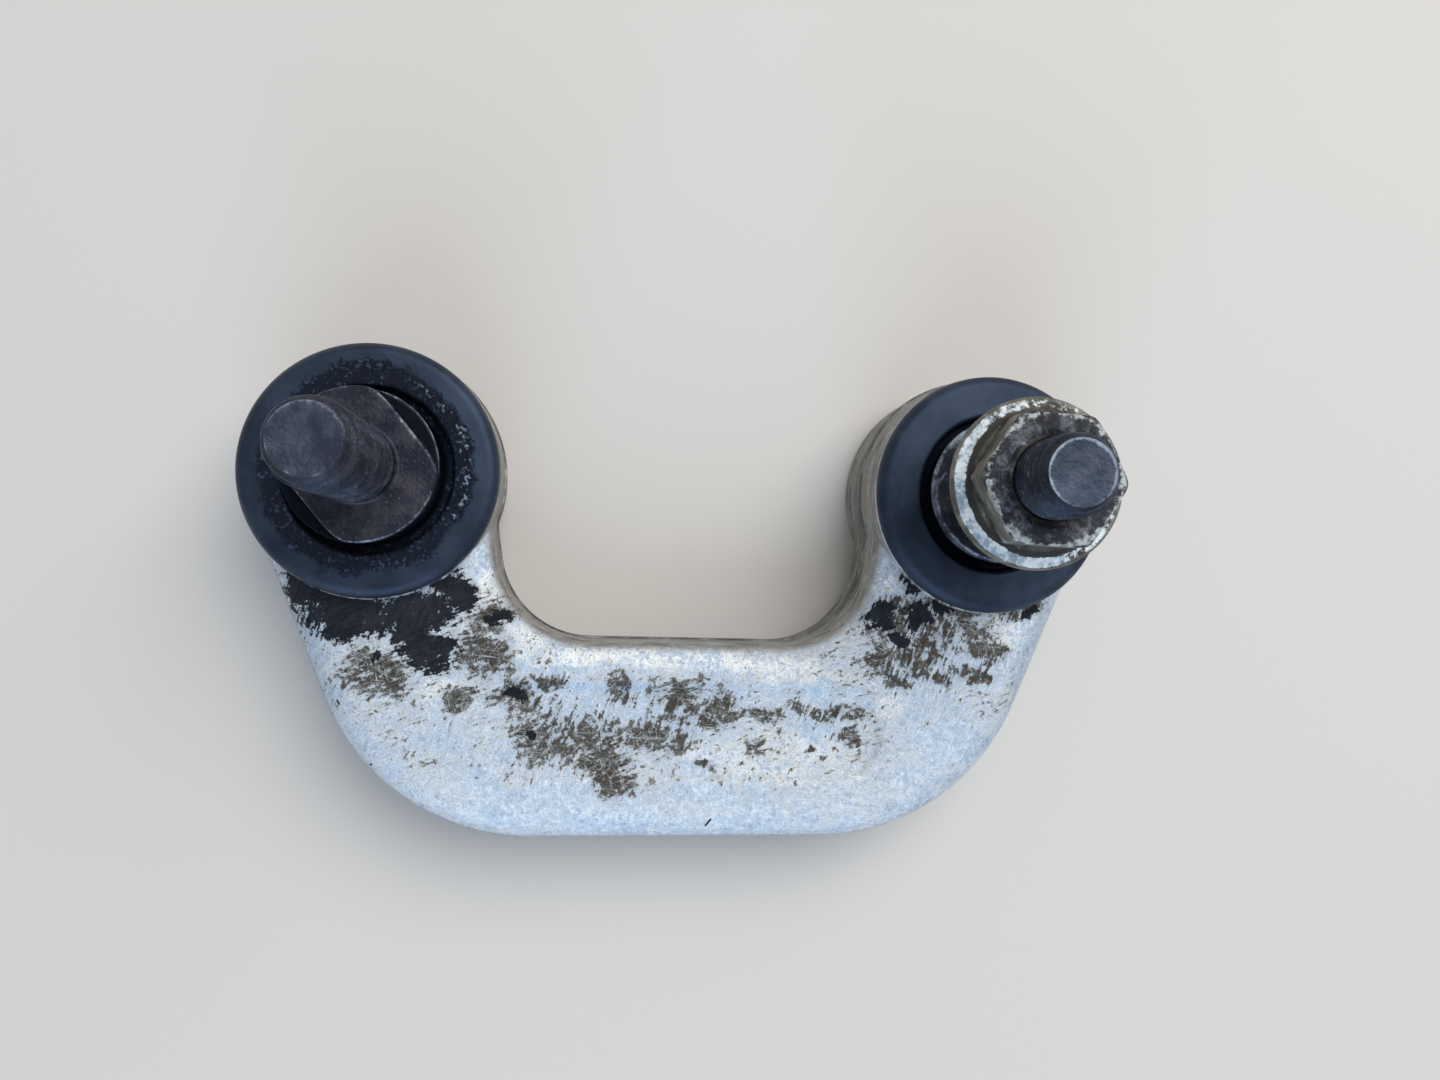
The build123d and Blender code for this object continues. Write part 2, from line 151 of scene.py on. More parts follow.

# Nut. Its heights are above its own seat
NUT_SEAT = 28.1                               # above the ball's centre
NUT_FLATS = 16.0
NUT_HEIGHT = 8.0
NUT_FLANGE_RADIUS = 11.0
NUT_FLANGE_EDGE = 1.4
NUT_FLANGE_HEIGHT = 2.6
NUT_CONE_RADIUS = NUT_FLANGE_RADIUS - 1.2     # where the flange's cone starts
NUT_CONE_BASE = NUT_FLANGE_EDGE + 0.5
NUT_CONE_SLOPE = 0.42
NUT_TOP_RADIUS = 8.3
NUT_TOP_RINGS = (7.4, 7.0, 6.6, 6.2)          # radii of the mesh's rings on the top face
NUT_CORNER_RADIUS = 9.05
NUT_CORNER_SHARPNESS = 8.0                    # per millimetre
NUT_CHAMFER_SLOPE = 0.5
NUT_EDGE_WEAR = 0.12
NUT_TOP_CHAMFER = (0.7, 0.8)                  # round the bore: width and depth
NUT_BORE = 5.05
NUT_BORE_CHAMFER = 0.6
NUT_TURN = -2.0                               # degrees
HEXAGON_TURN = math.tau / 6

PARTING_HEIGHT = 9.5                          # of the forging's trimmed flash, above the back face

# Meshes
SEGMENTS = 144
BOOT_SEGMENTS = 180
STUD_RUN = 0.6                                # longest step between two rings of the mesh
NUT_RUN = 0.35
BOOT_RUN = 0.45
SHARP_ANGLE = 35.0                            # degrees
SAME_POINT = 1e-4
LEAST_COSINE = 0.1                            # keeps the radius finite along a flat
ARC_STEPS = 8

# Stains on the front of the link: x, y and half sizes along x and y
BLACK_STAINS = [
    (-51.0, 0.6, 4.6, 2.7), (-46.0, -2.6, 6.8, 3.8), (-38.0, -1.6, 4.8, 4.0),
    (-32.6, 1.0, 2.8, 2.2), (-35.0, -7.4, 4.4, 2.6), (-26.4, -2.9, 2.4, 1.2),
    (-42.4, -2.4, 3.6, 3.2), (-38.2, -5.0, 3.4, 2.2), (-41.7, -9.5, 1.0, 1.1),
    (-23.7, -14.9, 1.4, 0.8), (-21.5, -18.7, 0.6, 0.6),
    (28.9, -2.0, 2.3, 1.9), (34.0, -1.4, 2.2, 2.6), (31.0, -4.9, 1.8, 1.3),
    (37.8, -1.0, 1.9, 1.6), (50.3, -1.7, 1.0, 0.9), (33.6, 3.4, 3.2, 1.4),
]
BROWN_STAINS = [
    (-30.7, -13.2, 2.6, 1.2), (-42.0, -11.0, 4.6, 2.8), (-27.0, -9.0, 3.6, 2.8),
    (-24.0, -14.6, 3.4, 2.2), (-28.0, -2.6, 3.4, 2.0), (-30.6, -6.6, 2.8, 2.4),
    (-19.1, -12.4, 2.4, 1.1), (-19.6, -19.6, 5.0, 3.8), (-13.6, -20.4, 5.4, 4.0),
    (-8.3, -13.8, 2.6, 1.8), (-10.2, -24.0, 3.2, 2.6), (-0.8, -14.8, 3.4, 3.0),
    (4.7, -16.0, 3.4, 2.4), (-3.6, -19.4, 5.0, 2.6), (11.6, -16.6, 2.8, 1.8),
    (17.4, -15.4, 1.4, 1.2), (9.2, -21.8, 1.2, 1.3), (18.9, -21.6, 0.8, 0.7),
    (33.4, -2.0, 2.6, 4.0), (2.5, -23.5, 1.3, 0.9), (23.2, -16.4, 3.6, 1.7),
    (36.6, -4.6, 4.4, 3.8), (41.4, -3.2, 4.4, 2.4), (45.0, -6.2, 3.2, 1.6),
    (33.4, -7.8, 3.8, 3.2), (42.6, -9.6, 2.8, 1.2), (38.8, -11.0, 2.0, 1.0),
    (27.6, -8.4, 2.6, 2.6), (30.4, -11.2, 3.2, 1.4), (38.6, -0.4, 4.2, 2.0),
    (49.0, -1.2, 3.2, 1.6), (30.6, -2.8, 4.8, 4.2), (24.4, -20.2, 1.6, 1.0),
]
DUSTY_STAINS = [(-6.0, -18.6, 26.0, 5.6), (-36.0, -9.0, 13.0, 7.5), (37.0, -6.5, 13.0, 7.5)]
# Worn white patches, with painted highlights along the window's bead (y -9.3) and the pocket's lower
# wall (y -22.2)
RUBBED_AND_HIGHLIGHT_STAINS = [
    (-27.0, 1.2, 2.4, 2.8), (-33.4, -12.2, 3.4, 1.8), (29.4, 2.6, 3.4, 1.8),
    (45.9, -3.6, 5.0, 3.4), (11.3, -22.2, 15.0, 2.6), (-22.4, -6.2, 3.4, 2.4),
    (29.9, -15.6, 3.0, 2.0), (-30.4, -3.6, 2.4, 1.8), (33.0, -5.6, 4.4, 4.0),
    (-11.0, -9.3, 11.0, 1.4), (12.0, -9.3, 13.0, 1.4),
]
# Dark nicks on the front: x, y, direction in degrees, length
NICKS = [(3.7, -31.4, 55.0, 1.6), (-47.4, -15.0, -60.0, 1.0), (-43.0, -23.6, 40.0, 0.7)]
NICK_HALF_WIDTH = 0.22
# Fine scratches: direction in degrees, length, seed
SCRATCHES = [(28, 5.0, 1.0), (-52, 3.0, 2.0), (74, 3.0, 4.0), (5, 6.0, 6.0)]
SCRATCH_WIDTH = 0.13
WIPING_TURNS = (-68, -20)                     # degrees, the two ways in which the dirt is streaked

# Where a mask of the forging rises from 0, and where it reaches 1
FRONT_HEIGHTS = (8.0, 10.0)
SEAM_HEIGHTS = (1.1, 0.7)                     # off the parting line
TOWARDS_JOINTS = (-13.0, -10.0)               # along y, from the bridge
SHADED_WALLS = (-6.0, -9.5)                   # along y, towards the bridge; painted shade on the walls under the window
INSIDE_REACH = (39.0, 36.0)                   # of the C, off its middle
BROWN_REACH = (46.0, 35.0)                    # of its brown walls, off its middle
RIM_INSIDE = (16.6, 16.9)                     # of the worn edge on a housing, radius from within
RIM_OUTSIDE = (17.6, 17.35)                   # radius from outside
RIM_HEIGHTS = (15.9, 16.3)

# Colours of the forging
DULL_ALUMINIUM = (0.48, 0.58, 0.70)
CLEAR_ALUMINIUM = (0.60, 0.68, 0.78)
LIGHT_FLECKS = (0.90, 0.93, 0.95)
DULL_FLECKS = (0.25, 0.29, 0.35)
PIT_BLACK = (0.09, 0.085, 0.085)
SCRATCH_WHITE = (0.88, 0.91, 0.92)
# White of metal worn by rubbing, also of the painted highlights
RUBBED_AND_HIGHLIGHT_WHITE = (0.90, 0.92, 0.92)
DUST = (0.31, 0.295, 0.235)
DARK_SOIL = (0.026, 0.020, 0.013)
PALE_SOIL = (0.125, 0.103, 0.068)
THICK_SOIL = (0.030, 0.025, 0.018)
SCRATCH_IN_SOIL = (0.66, 0.69, 0.69)
TAR = (0.003, 0.005, 0.012)
TAR_GLEAM = (0.016, 0.017, 0.026)
RIM_BRIGHT = (0.78, 0.80, 0.82)
WALL_BROWN = (0.105, 0.090, 0.070)
WALL_GREY = (0.275, 0.265, 0.235)
WALL_PALE = (0.44, 0.44, 0.42)
WALL_DARK = (0.038, 0.032, 0.026)
SEAM_BROWN = (0.045, 0.040, 0.032)
UPPER_WALL = (0.36, 0.35, 0.32)
SHADED_WALL = (0.055, 0.048, 0.038)
BARE_DARK = (0.16, 0.19, 0.23)
BARE_PALE = (0.38, 0.44, 0.51)
BARE_PITS = (0.05, 0.05, 0.055)
NICK_BLACK = (0.03, 0.03, 0.035)

# Colours of the other pieces
STUD_DARK = (0.012, 0.011, 0.013)
STUD_PALE = (0.036, 0.034, 0.040)
STUD_RUST = (0.070, 0.050, 0.036)
STUD_SPECKS = (0.080, 0.083, 0.095)
STUD_END_DARK = (0.026, 0.030, 0.042)
STUD_END_PALE = (0.060, 0.066, 0.085)
STUD_GREASE = (0.005, 0.006, 0.009)
# Light worn steel, also used for the painted highlight along one side of a collar's foot
STUD_WORN_AND_HIGHLIGHT = (0.27, 0.31, 0.37)
NUT_DARK = (0.030, 0.026, 0.022)
NUT_PALE = (0.110, 0.105, 0.088)
NUT_SPECKS = (0.22, 0.22, 0.19)
NUT_SIDE_DARK = (0.085, 0.080, 0.062)
NUT_SIDE_PALE = (0.215, 0.210, 0.180)
NUT_TOP_DARK = (0.014, 0.016, 0.024)
NUT_TOP_PALE = (0.12, 0.13, 0.155)
NUT_WORN_DARK = (0.17, 0.18, 0.17)
NUT_WORN_PALE = (0.50, 0.54, 0.55)
NUT_FRINGE = (0.022, 0.017, 0.014)
# White corrosion along the nut's flange, whiter on the lower left as a painted highlight
CHALK_AND_HIGHLIGHT_BLUE = (0.26, 0.35, 0.43)
CHALK_AND_HIGHLIGHT_WHITE = (0.80, 0.85, 0.87)
RUBBER_DARK = (0.009, 0.012, 0.018)
RUBBER_PALE = (0.022, 0.028, 0.042)
RUBBER_WET = (0.004, 0.004, 0.007)
# Light bluish grit in the grease, partly painted highlights
RUBBER_GRIT_AND_GLINT_SPECKS = (0.075, 0.10, 0.16)
# Colour of the painted highlights on the greasy boot
RUBBER_PAINTED_GLINTS = (0.36, 0.43, 0.52)
# Near black of the boot's fold: painted shade of the deep groove, with its dirt
FOLD_DIRT_AND_SHADE = (0.002, 0.003, 0.005)
BLUE_SHEEN = (0.42, 0.62, 1.0)                # of grease and rubber
CAP_STEEL = (0.30, 0.29, 0.26)
RING_STEEL = (0.30, 0.30, 0.29)
SEAT_PLASTIC = (0.78, 0.77, 0.72)


def rounded(corners, closed=False):
    """Outline through (radius, height, rounding) corners, with an arc at each rounding."""
    outline = []
    count = len(corners)
    for i, (x, y, rounding) in enumerate(corners):
        corner = Vector((x, y))
        if not rounding or (not closed and i in (0, count - 1)):
            outline.append((x, y))
            continue
        back = (Vector(corners[i - 1][:2]) - corner).normalized()
        ahead = (Vector(corners[(i + 1) % count][:2]) - corner).normalized()
        half = back.angle(ahead) / 2
        centre = corner + (back + ahead).normalized() * rounding / math.sin(half)
        reach = rounding / math.tan(half)
        start = corner + back * reach - centre
        end = corner + ahead * reach - centre
        for step in range(ARC_STEPS + 1):
            spoke = start.slerp(end, step / ARC_STEPS).normalized() * rounding
            outline.append(tuple(centre + spoke))
    return outline


def divided(outline, longest, closed=False):
    """The outline with points added, so that none of its runs is longer than longest."""
    points = []
    ends = outline[1:] + (outline[:1] if closed else [])
    for start, end in zip(outline, ends):
        parts = max(1, math.ceil(math.dist(start, end) / longest))
        points += [tuple(np.add(start, np.subtract(end, start) * k / parts)) for k in range(parts)]
    return points if closed else points + outline[-1:]


def ramp(values, start, end):
    """0 up to start, 1 from end on, and straight between them. End may be the lower of the two."""
    return np.clip((values - start) / (end - start), 0, 1)


def bell(away, width):
    """1 where away is 0, falling to 0 about width off."""
    return np.exp(-((away / width) ** 2))


def spokes(count):
    """Evenly spaced angles round the Z axis."""
    return np.linspace(0, math.tau, count, endpoint=False)


def band_faces(rows, columns, closed):
    """Corner numbers of the quads between rows of points that run round the Z axis."""
    index = np.arange(rows * columns).reshape(rows, columns)
    upper = np.roll(index, -1, axis=0)
    if not closed:
        index, upper = index[:-1], upper[:-1]
    faces = np.stack([index, np.roll(index, -1, 1), np.roll(upper, -1, 1), upper], axis=-1)
    return faces.reshape(-1, 4).tolist()


def shown(name, data):
    """Object that shows a mesh, a lamp or a camera in the scene."""
    thing = bpy.data.objects.new(name, data)
    bpy.context.scene.collection.objects.link(thing)
    return thing


def turned(name, rows, angles, closed=False):
    """Mesh object round the Z axis, smooth but for its sharp edges.

    Each row is (radius, height), and either may have one value per angle.
    """
    even = np.ones(len(angles))
    rings = np.array([
        np.stack([radius * np.cos(angles), radius * np.sin(angles), height * even], -1)
        for radius, height in rows
    ])
    mesh = bpy.data.meshes.new(name)
    faces = band_faces(len(rows), len(angles), closed)
    mesh.from_pydata((rings.reshape(-1, 3) * MM).tolist(), [], faces)
    work = bmesh.new()
    work.from_mesh(mesh)
    bmesh.ops.remove_doubles(work, verts=work.verts, dist=SAME_POINT * MM)
    bmesh.ops.recalc_face_normals(work, faces=work.faces)
    work.to_mesh(mesh)
    work.free()
    mesh.polygons.foreach_set("use_smooth", [True] * len(mesh.polygons))
    mesh.set_sharp_from_angle(angle=math.radians(SHARP_ANGLE))
    return shown(name, mesh)


def points_of(thing):
    """Array of a mesh's points, in millimetres."""
    flat = np.empty(len(thing.data.vertices) * 3, np.float32)
    thing.data.vertices.foreach_get("co", flat)
    return flat.reshape(-1, 3) / MM


def polar_points(thing):
    """Radius, angle and height of each point of a mesh round the Z axis."""
    x, y, z = points_of(thing).T
    return np.hypot(x, y), np.arctan2(y, x), z


def mark(thing, name, values):
    """Keeps one number per point on the mesh, for its material to read."""
    layer = thing.data.attributes.new(name, "FLOAT", "POINT")
    layer.data.foreach_set("value", np.asarray(values, np.float32))


def lean_of(joint):
    """Turn from upright to the joint's axis."""
    return Vector((0, 0, 1)).rotation_difference(Vector(joint["axis"]))


def put_on_stud(thing, side):
    """Moves a mesh that was made upright round the origin to its stud."""
    joint = joint_named(f"{side}_stud_spin")
    thing.data.transform(Matrix.Translation(joint["pos_m"]) @ lean_of(joint).to_matrix().to_4x4())


class Shader:
    """Adds nodes to one new material. Lengths on the mesh are millimetres here too."""

    def __init__(self, name):
        self.material = bpy.data.materials.new(name)
        self.material.use_nodes = True
        self.nodes = self.material.node_tree.nodes
        self.links = self.material.node_tree.links
        self.nodes.clear()
        here = self.nodes.new("ShaderNodeTexCoord")
        self.normal = here.outputs["Normal"]
        self.place = self.vector("SCALE", here.outputs["Object"], scale=1 / MM)
        self.x, self.y, self.z = self.parts(self.place)

    def plug(self, socket, value):
        """Feeds a socket by another socket or a plain value."""
        if isinstance(value, bpy.types.NodeSocket):
            self.links.new(value, socket)
        elif isinstance(value, tuple) and len(value) == 3 and socket.type == "RGBA":
            socket.default_value = (*value, 1)
        else:
            socket.default_value = value

    def made(self, kind, inputs, **settings):
        """New node whose inputs are given by name or number."""
        node = self.nodes.new(kind)
        for name, value in settings.items():
            setattr(node, name, value)
        for key, value in inputs.items():
            self.plug(node.inputs[key], value)
        return node

    def vector(self, operation, *values, scale=None):
        inputs = dict(enumerate(values))
        if scale is not None:
            inputs["Scale"] = scale
        return self.made("ShaderNodeVectorMath", inputs, operation=operation).outputs[0]

    def parts(self, value):
        return tuple(self.made("ShaderNodeSeparateXYZ", {0: value}).outputs)

    def math(self, operation, *values):
        return self.made("ShaderNodeMath", dict(enumerate(values)), operation=operation).outputs[0]

    def chain(self, operation, values):
        found, *others = values
        for value in others:
            found = self.math(operation, found, value)
        return found

    def product(self, *values):
        return self.chain("MULTIPLY", values)

    def largest(self, *values):
        return self.chain("MAXIMUM", values)

    def total(self, *terms):
        """Sum of (value, weight) terms."""
        return self.chain("ADD", [self.product(value, weight) for value, weight in terms])

    def magnitude(self, value):
        return self.math("ABSOLUTE", value)

    def between(self, value, low, high):
        """0 below low and 1 above high, or the other way round where low is the larger."""
        rising = low < high
        inputs = {
            "Value": value, "From Min": min(low, high), "From Max": max(low, high),
            "To Min": 0 if rising else 1, "To Max": 1 if rising else 0,
        }
        node = self.made("ShaderNodeMapRange", inputs, interpolation_type="SMOOTHSTEP")
        return node.outputs[0]

    def mix(self, amount, first, second):
        """The first colour where the amount is 0 and the second where it is 1."""
        inputs = {"Factor": amount, 6: first, 7: second}
        return self.made("ShaderNodeMix", inputs, data_type="RGBA").outputs[2]

    def blend(self, amount, first, second):
        """The first number where the amount is 0 and the second where it is 1."""
        inputs = {"Factor": amount, 2: first, 3: second}
        return self.made("ShaderNodeMix", inputs, data_type="FLOAT").outputs[0]

    def cover(self, colour, coat, where, strength):
        """The colour with a coat over it, which is as opaque as strength where the mask is 1."""
        return self.mix(self.product(where, strength), colour, coat)

    def kept(self, name):
        """A number kept on the mesh by mark()."""
        return self.made("ShaderNodeAttribute", {}, attribute_name=name).outputs["Fac"]

    def rotated(self, place, degrees):
        """The place turned about the Z axis."""
        inputs = {"Vector": place, "Angle": math.radians(degrees)}
        return self.made("ShaderNodeVectorRotate", inputs, rotation_type="Z_AXIS").outputs[0]

    def noise(self, size, place=None, detail=4.0, roughness=0.55, stretch=None, seed=0.0):
        """Noise about 0, with its largest grains about size across."""
        place = self.place if place is None else place
        if stretch:
            place = self.vector("DIVIDE", place, stretch)
        inputs = {
            "Vector": place, "W": seed, "Scale": 1 / size, "Detail": detail, "Roughness": roughness,
        }
        node = self.made("ShaderNodeTexNoise", inputs, noise_dimensions="4D")
        return self.math("SUBTRACT", node.outputs["Fac"], 0.5)

    def wandering(self, place, size, reach, seed):
        """The place moved about by noise, up to about half of reach."""
        inputs = {"Vector": place, "W": seed, "Scale": 1 / size, "Detail": 3.0}
        node = self.made("ShaderNodeTexNoise", inputs, noise_dimensions="4D")
        off = self.vector("SUBTRACT", node.outputs["Color"], (0.5, 0.5, 0.5))
        return self.vector("ADD", place, self.vector("SCALE", off, scale=reach))

    def stains(self, table, least, most, place):
        """1 in the middle of each stain of the table and 0 at its edge, kept to least and most."""
        levels = []
        for x, y, half_x, half_y in table:
            away = self.vector("SUBTRACT", place, (x, y, 0))
            away = self.vector("MULTIPLY", away, (1 / half_x, 1 / half_y, 0))
            length = self.made("ShaderNodeVectorMath", {0: away}, operation="LENGTH").outputs["Value"]
            levels.append(self.math("SUBTRACT", 1.0, length))
        return self.math("MINIMUM", self.largest(*levels, least), most)

    def capsule(self, x, y, degrees, length, half_width):
        """1 on a short straight mark in the XY plane, 0 off it."""
        away = self.vector("SUBTRACT", self.place, (x, y, 0))
        along, across, _ = self.parts(self.rotated(away, -degrees))
        along = self.between(self.magnitude(along), length / 2, length / 2 - half_width)
        across = self.between(self.magnitude(across), half_width, half_width / 2)
        return self.product(along, across)

    def bump(self, height, depth, under=None):
        """Normal of a relief whose height of 1 stands depth proud, over the one under it."""
        inputs = {"Distance": depth * MM, "Height": height}
        if under is not None:
            inputs["Normal"] = under
        return self.made("ShaderNodeBump", inputs).outputs[0]

    def surface(self, **inputs):
        """The finished material. The shader's sockets are named with underscores for spaces."""
        inputs = {name.replace("_", " "): value for name, value in inputs.items()}
        shader = self.made("ShaderNodeBsdfPrincipled", inputs)
        self.made("ShaderNodeOutputMaterial", {"Surface": shader.outputs[0]})
        return self.material


class ForgedAluminium(Shader):
    """Satin bluish forging, worn white by rubbing in places, with painted highlights on its window's
    bead and pocket, painted shade on the wall under the window, black grease and brown road dirt.
    """

    def __init__(self):
        super().__init__("forged_aluminium")
        self.coarse = self.noise(9.0, seed=3.0)
        self.crumbs = self.noise(2.2, detail=9.0, roughness=0.74, seed=5.0)
        self.fine = self.noise(0.8, detail=6.0, roughness=0.72, seed=11.0)
        self.grain = self.noise(0.32, detail=3.0, roughness=0.65, seed=9.0)
        self.flow = self.noise(1.0, detail=8.0, roughness=0.7, stretch=(5.0, 5.0, 1.2), seed=7.0)
        self.pits = self.total((self.fine, 1.0), (self.grain, 0.6), (self.crumbs, 0.6))
        self.ragged = self.total(
            (self.coarse, 0.8), (self.crumbs, 2.6), (self.fine, 3.6), (self.grain, 1.4),
            (self.wiped_streaks(), 2.8),
        )
        self.scratched = self.scratch_lines()
        self.wandered = self.wandering(self.wandering(self.place, 9.0, 9.0, 21.0), 2.5, 3.0, 22.0)
        self.front = self.between(self.z, *FRONT_HEIGHTS)
        self.towards_joints = self.between(self.y, *TOWARDS_JOINTS)
        self.off_seam = self.magnitude(self.math("SUBTRACT", self.z, PARTING_HEIGHT))

    def wiped_streaks(self):
        """Short streaks that run one way or the other."""
        first, second = (
            self.noise(
                1.0, self.rotated(self.place, turn), detail=5.0, roughness=0.6, stretch=(2.4, 0.5, 2.4)
            )
            for turn in WIPING_TURNS
        )
        return self.blend(self.between(self.coarse, -0.06, 0.06), first, second)

    def scratch_lines(self):
        """Fine straight lines in a few directions, more of them in some places."""
        lines = []
        for degrees, length, seed in SCRATCHES:
            along = self.rotated(self.place, degrees)
            stretch = (length, SCRATCH_WIDTH, length)
            level = self.noise(1.0, along, detail=2.0, stretch=stretch, seed=seed)
            lines.append(self.between(level, 0.08, 0.13))
        return self.product(self.largest(*lines), self.between(self.coarse, -0.12, 0.10))

    def clean_metal(self):
        """Satin metal with light and dull flecks, pits, scratches, white patches worn by rubbing, and
        painted highlights along the window's bead and the pocket's lower wall.
        """
        flecks = self.total((self.crumbs, 0.6), (self.fine, 1.4), (self.grain, 1.0))
        colour = self.mix(self.between(self.coarse, -0.10, 0.12), DULL_ALUMINIUM, CLEAR_ALUMINIUM)
        colour = self.cover(colour, LIGHT_FLECKS, self.between(flecks, 0.02, 0.18), 0.6)
        colour = self.cover(colour, DULL_FLECKS, self.between(flecks, -0.03, -0.18), 0.45)
        colour = self.cover(colour, PIT_BLACK, self.between(self.pits, -0.18, -0.25), 0.85)
        colour = self.cover(colour, SCRATCH_WHITE, self.scratched, 0.65)
        # White worn patches, with painted highlights on the window's bead and the pocket's lower wall
        rubbed_and_highlight_field = self.stains(RUBBED_AND_HIGHLIGHT_STAINS, -1.0, 0.30, self.wandered)
        rubbed_and_highlit = self.between(self.total((rubbed_and_highlight_field, 1.0), (self.ragged, 0.9)), -0.05, 0.45)
        return self.cover(colour, RUBBED_AND_HIGHLIGHT_WHITE, self.product(rubbed_and_highlit, self.front), 0.85)

    def dirt_level(self, grease_field):
        """How much brown dirt there is: 0 about where a patch begins, and less off it."""
        dirt_field = self.largest(
            self.stains(BROWN_STAINS, -0.95, 0.40, self.wandered),
            self.stains(DUSTY_STAINS, -0.95, -0.36, self.wandered),
            self.math("MINIMUM", grease_field, 0.2),
        )
        on_front = self.total((dirt_field, 1.0), (self.ragged, 1.0))
        on_back = self.total((self.coarse, 1.0), (self.ragged, 1.0), (1.0, -0.6))
        return self.blend(self.front, on_back, on_front)

    def dirty(self, colour, level, brown):
        """The colour under dust and soil, which is thicker in the middle and scratched through."""
        colour = self.cover(colour, DUST, self.between(level, -0.50, 0.15), 0.42)
        clods = self.total((self.fine, 1.0), (self.grain, 1.0))
        soil = self.mix(self.between(clods, -0.12, 0.14), DARK_SOIL, PALE_SOIL)
        colour = self.cover(colour, soil, brown, 0.92)
        colour = self.cover(colour, THICK_SOIL, self.between(level, 0.32, 0.66), 0.80)
        through = self.product(self.scratched, self.between(self.crumbs, -0.06, 0.08))
        return self.cover(colour, SCRATCH_IN_SOIL, through, 0.75)

    def housing_rim(self):
        """Mask of the worn edge round the top of each housing."""
        off_x = self.math("SUBTRACT", self.magnitude(self.x), HALF_SPACING)
        off_y = self.math("SUBTRACT", self.y, JOINT_LINE)
        squares = self.total((self.product(off_x, off_x), 1.0), (self.product(off_y, off_y), 1.0))
        radius = self.math("SQRT", squares)
        return self.product(
            self.between(radius, *RIM_INSIDE), self.between(radius, *RIM_OUTSIDE),
            self.between(self.z, *RIM_HEIGHTS), self.between(self.crumbs, -0.06, 0.05),
        )

    def sides(self):
        """Mask of the forging's walls, its seam and the roundings inside the C."""
        up = self.magnitude(self.parts(self.normal)[2])
        off_middle = self.magnitude(self.x)
        inside = self.product(self.between(off_middle, *INSIDE_REACH), self.towards_joints)
        rounding = self.product(self.between(up, 0.86, 0.50), inside)
        return self.largest(
            self.between(up, 0.60, 0.25), self.between(self.off_seam, *SEAM_HEIGHTS), rounding
        )

    def brown_wall(self):
        """Wall under brown grime that has run down it, darkest along the seam, and darkened by painted
        shade towards the bridge under the window.
        """
        flow = self.flow
        wall = self.mix(self.between(flow, -0.12, 0.06), WALL_BROWN, WALL_GREY)
        worn = self.between(self.total((flow, 1.0), (self.fine, 1.0)), 0.06, 0.22)
        wall = self.mix(worn, wall, WALL_PALE)
        wall = self.mix(self.between(flow, -0.11, -0.15), wall, WALL_DARK)
        seam = self.between(self.total((self.off_seam, 1.0), (flow, 4.0)), 1.0, 0.5)
        wall = self.cover(wall, SEAM_BROWN, seam, 0.7)
        upper = self.between(self.z, PARTING_HEIGHT, PARTING_HEIGHT + 1.0)
        wall = self.cover(wall, UPPER_WALL, upper, 0.2)
        # Painted shade on the wall towards the bridge, under the window
        return self.cover(wall, SHADED_WALL, self.between(self.y, *SHADED_WALLS), 0.5)

    def bare_wall(self):
        """Mottled bluish wall, as on the outside of the C."""
        mottle = self.total((self.flow, 0.45), (self.crumbs, 0.5), (self.fine, 0.35))
        wall = self.mix(self.between(mottle, -0.10, 0.10), BARE_DARK, BARE_PALE)
        return self.cover(wall, BARE_PITS, self.between(self.pits, -0.12, -0.20), 0.8)

    def walls(self):
        """Brown wall inside the C and bare wall outside it, with a ragged change between them."""
        reach = self.total((self.magnitude(self.x), 1.0), (self.coarse, 26.0), (self.crumbs, 20.0))
        inside = self.product(self.between(reach, *BROWN_REACH), self.towards_joints)
        return self.mix(inside, self.bare_wall(), self.brown_wall())

    def finished(self):
        """The material, layer over layer: bare metal with its painted highlights, dirt, grease, rims,
        walls with their painted shade, and nicks.
        """
        grease_field = self.stains(BLACK_STAINS, -1.0, 0.62, self.wandered)
        level = self.dirt_level(grease_field)
        brown = self.between(level, 0.10, 0.36)
        black = self.between(self.total((grease_field, 1.35), (self.ragged, 0.8)), 0.0, 0.16)
        black = self.product(black, self.front)
        tar = self.mix(self.between(self.fine, 0.0, 0.16), TAR, TAR_GLEAM)
        side = self.sides()

        colour = self.dirty(self.clean_metal(), level, brown)
        colour = self.cover(colour, tar, black, 0.97)
        colour = self.cover(colour, RIM_BRIGHT, self.housing_rim(), 0.85)
        colour = self.cover(colour, self.walls(), side, 0.94)
        for nick in NICKS:
            colour = self.mix(self.capsule(*nick, NICK_HALF_WIDTH), colour, NICK_BLACK)

        patches = self.largest(brown, black)
        dull = self.largest(patches, self.product(side, 0.7))
        relief = self.total(
            (self.crumbs, 1.0), (self.fine, 0.6), (self.grain, 0.5), (self.scratched, -0.15)
        )
        return self.surface(
            Base_Color=colour,
            Metallic=self.blend(dull, 0.45, 0.0),
            Roughness=self.blend(dull, 0.42, 0.55),
            Specular_IOR_Level=self.blend(dull, 0.5, 0.16),
            Normal=self.bump(patches, 0.06, self.bump(relief, 0.24)),
        )


